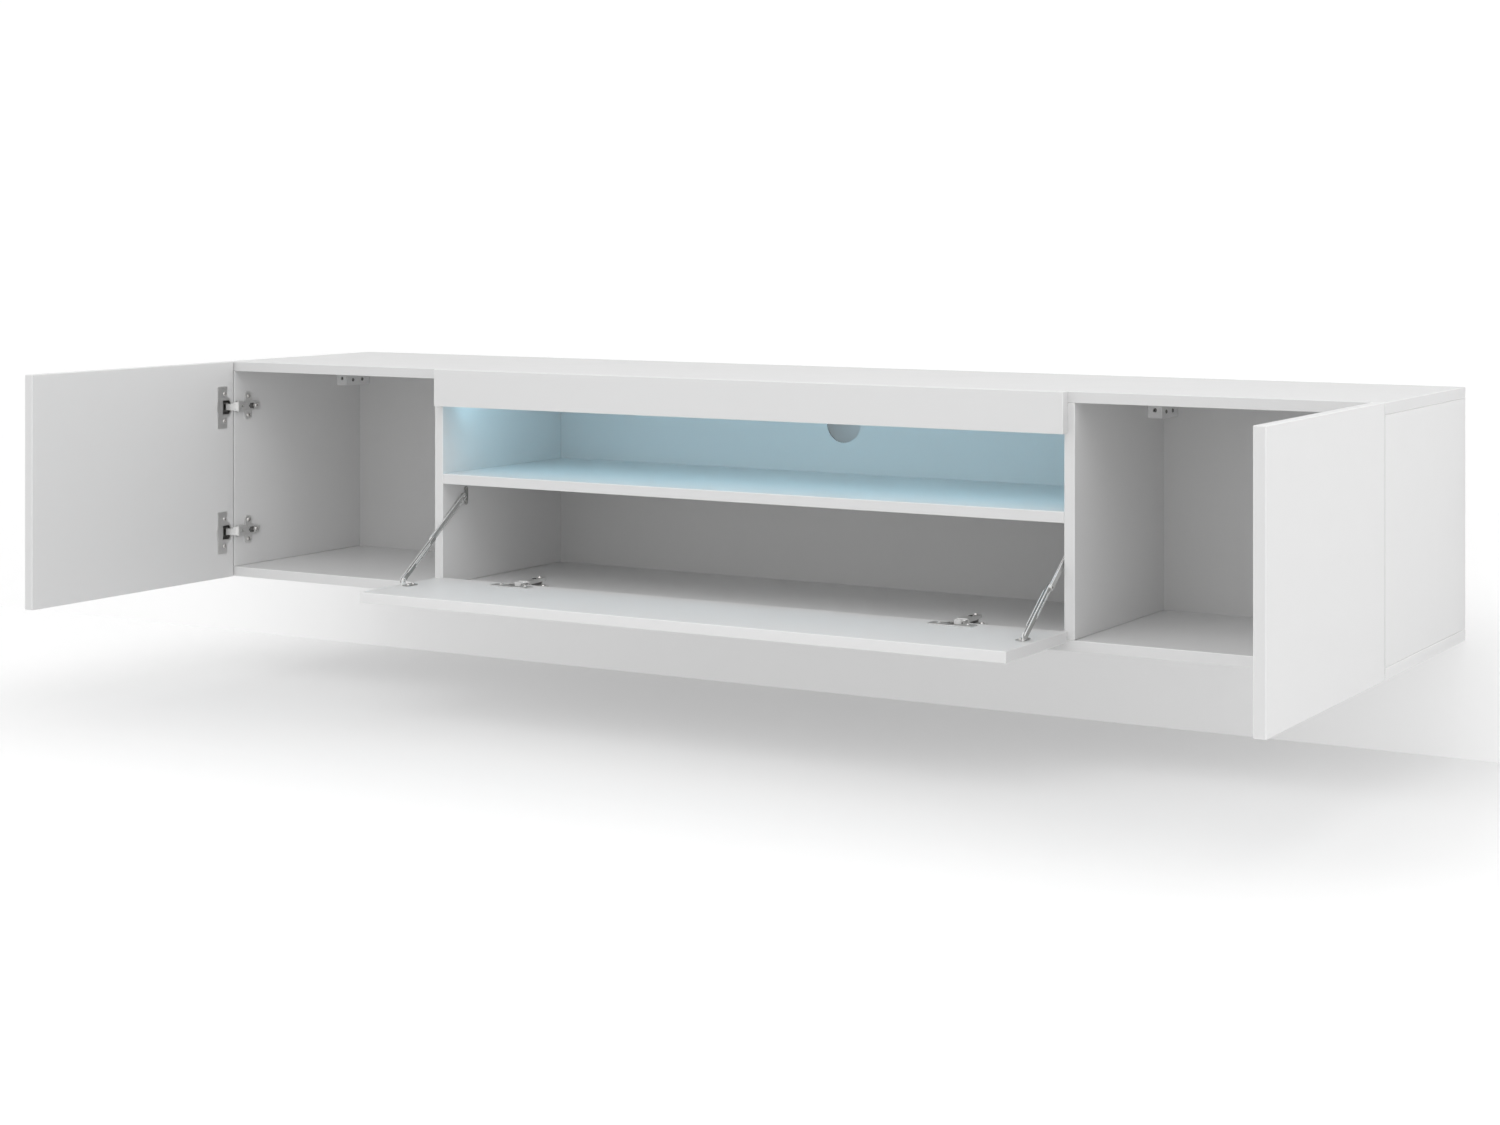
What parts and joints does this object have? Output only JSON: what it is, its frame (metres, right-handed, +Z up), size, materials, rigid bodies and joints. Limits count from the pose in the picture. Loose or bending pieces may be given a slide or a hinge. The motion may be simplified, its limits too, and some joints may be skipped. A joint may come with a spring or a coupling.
{
  "type": "wall cabinet",
  "caption": "Long wall-hung television cabinet with hinged side doors, a drop-down centre flap on folding stays, an open lit niche with a cable hole and white board faces.",
  "frame": {"origin": "on the wall plane at mid-width, halfway up the rear edge of the bottom board", "axes": "+X to the right of someone facing the cabinet, +Y into the wall, +Z up"},
  "size_m": [2, 0.8255, 0.362],
  "materials": {
    "white_board": "matt white laminated particleboard",
    "nickel_steel": "bright nickel plate",
    "zinc_steel": "dull zinc plate",
    "aluminium_profile": "anodised",
    "opal_plastic": "translucent opal"
  },
  "bodies": {
    "cabinet": {"bottom_panel": "white_board", "centre_back": "white_board", "fascia": "white_board", "flap_left_arm": "nickel_steel", "flap_left_plate": "nickel_steel", "flap_right_arm": "nickel_steel", "flap_right_plate": "nickel_steel", "left_back": "white_board", "left_divider": "white_board", "left_door_bottom_arm": "nickel_steel", "left_door_bottom_plate": "nickel_steel", "left_door_top_arm": "nickel_steel", "left_door_top_plate": "nickel_steel", "left_inner_hanger": "zinc_steel", "left_inner_hanger_hook": "zinc_steel", "left_outer_hanger": "zinc_steel", "left_outer_hanger_hook": "zinc_steel", "left_side": "white_board", "left_stay_divider_bracket": "nickel_steel", "light_diffuser": "opal_plastic", "light_profile": "aluminium_profile", "right_back": "white_board", "right_divider": "white_board", "right_door_bottom_arm": "nickel_steel", "right_door_bottom_plate": "nickel_steel", "right_door_top_arm": "nickel_steel", "right_door_top_plate": "nickel_steel", "right_inner_hanger": "zinc_steel", "right_inner_hanger_hook": "zinc_steel", "right_outer_hanger": "zinc_steel", "right_outer_hanger_hook": "zinc_steel", "right_side": "white_board", "right_stay_divider_bracket": "nickel_steel", "shelf": "white_board", "top_panel": "white_board"},
    "left_door": {"left_door": "white_board", "left_door_bottom_cup": "nickel_steel", "left_door_top_cup": "nickel_steel"},
    "right_door": {"right_door": "white_board", "right_door_bottom_cup": "nickel_steel", "right_door_top_cup": "nickel_steel"},
    "flap": {"flap": "white_board", "flap_left_cup": "nickel_steel", "flap_right_cup": "nickel_steel", "left_stay_flap_bracket": "nickel_steel", "right_stay_flap_bracket": "nickel_steel"},
    "left_door_links": {"left_door_bottom_link": "nickel_steel", "left_door_top_link": "nickel_steel"},
    "right_door_links": {"right_door_bottom_link": "nickel_steel", "right_door_top_link": "nickel_steel"},
    "flap_links": {"flap_left_link": "nickel_steel", "flap_right_link": "nickel_steel"},
    "left_stay_upper": {"left_stay_upper_arm": "nickel_steel"},
    "left_stay_lower": {"left_stay_lower_arm": "nickel_steel"},
    "right_stay_upper": {"right_stay_upper_arm": "nickel_steel"},
    "right_stay_lower": {"right_stay_lower_arm": "nickel_steel"}
  },
  "joints": [
    {"name": "left_door_hinge", "type": "hinge", "parent": "cabinet", "child": "left_door", "pos_m": [-0.992, -0.3855, 0.173], "axis": [0, 0, 1], "range_deg": [-5, 90]},
    {"name": "right_door_hinge", "type": "hinge", "parent": "cabinet", "child": "right_door", "pos_m": [0.992, -0.3855, 0.173], "axis": [0, 0, 1], "range_deg": [-90, 5]},
    {"name": "flap_hinge", "type": "hinge", "parent": "cabinet", "child": "flap", "pos_m": [0, -0.3855, 0.0124], "axis": [1, 0, 0], "range_deg": [-90, 0]},
    {"name": "left_door_link_pivot", "type": "hinge", "parent": "cabinet", "child": "left_door_links", "pos_m": [-0.9894, -0.38706, 0.173], "axis": [0, 0, 1], "range_deg": [-6, 107.1]},
    {"name": "right_door_link_pivot", "type": "hinge", "parent": "cabinet", "child": "right_door_links", "pos_m": [0.9894, -0.38706, 0.173], "axis": [0, 0, 1], "range_deg": [-107.1, 6]},
    {"name": "flap_link_pivot", "type": "hinge", "parent": "cabinet", "child": "flap_links", "pos_m": [0, -0.38706, 0.015], "axis": [1, 0, 0], "range_deg": [-107.1, 0]},
    {"name": "left_stay_upper_pivot", "type": "hinge", "parent": "cabinet", "child": "left_stay_upper", "pos_m": [-0.5388, -0.3229, 0.146], "axis": [1, 0, 0], "range_deg": [0, 65.2]},
    {"name": "right_stay_upper_pivot", "type": "hinge", "parent": "cabinet", "child": "right_stay_upper", "pos_m": [0.5388, -0.3229, 0.146], "axis": [1, 0, 0], "range_deg": [0, 65.2]},
    {"name": "left_stay_lower_pivot", "type": "hinge", "parent": "flap", "child": "left_stay_lower", "pos_m": [-0.5355, -0.4845, 0.0285], "axis": [1, 0, 0], "range_deg": [0, 8.4]},
    {"name": "right_stay_lower_pivot", "type": "hinge", "parent": "flap", "child": "right_stay_lower", "pos_m": [0.5355, -0.4845, 0.0285], "axis": [1, 0, 0], "range_deg": [0, 8.4]}
  ],
  "couplings": [
    {"joint": "left_door_link_pivot", "follows": "left_door_hinge", "ratio": 1.1888},
    {"joint": "right_door_link_pivot", "follows": "right_door_hinge", "ratio": 1.1888},
    {"joint": "flap_link_pivot", "follows": "flap_hinge", "ratio": 1.1888},
    {"joint": "left_stay_upper_pivot", "follows": "flap_hinge", "ratio": -0.72276},
    {"joint": "right_stay_upper_pivot", "follows": "flap_hinge", "ratio": -0.72276},
    {"joint": "left_stay_lower_pivot", "follows": "flap_hinge", "ratio": -0.092828},
    {"joint": "right_stay_lower_pivot", "follows": "flap_hinge", "ratio": -0.092828}
  ]
}
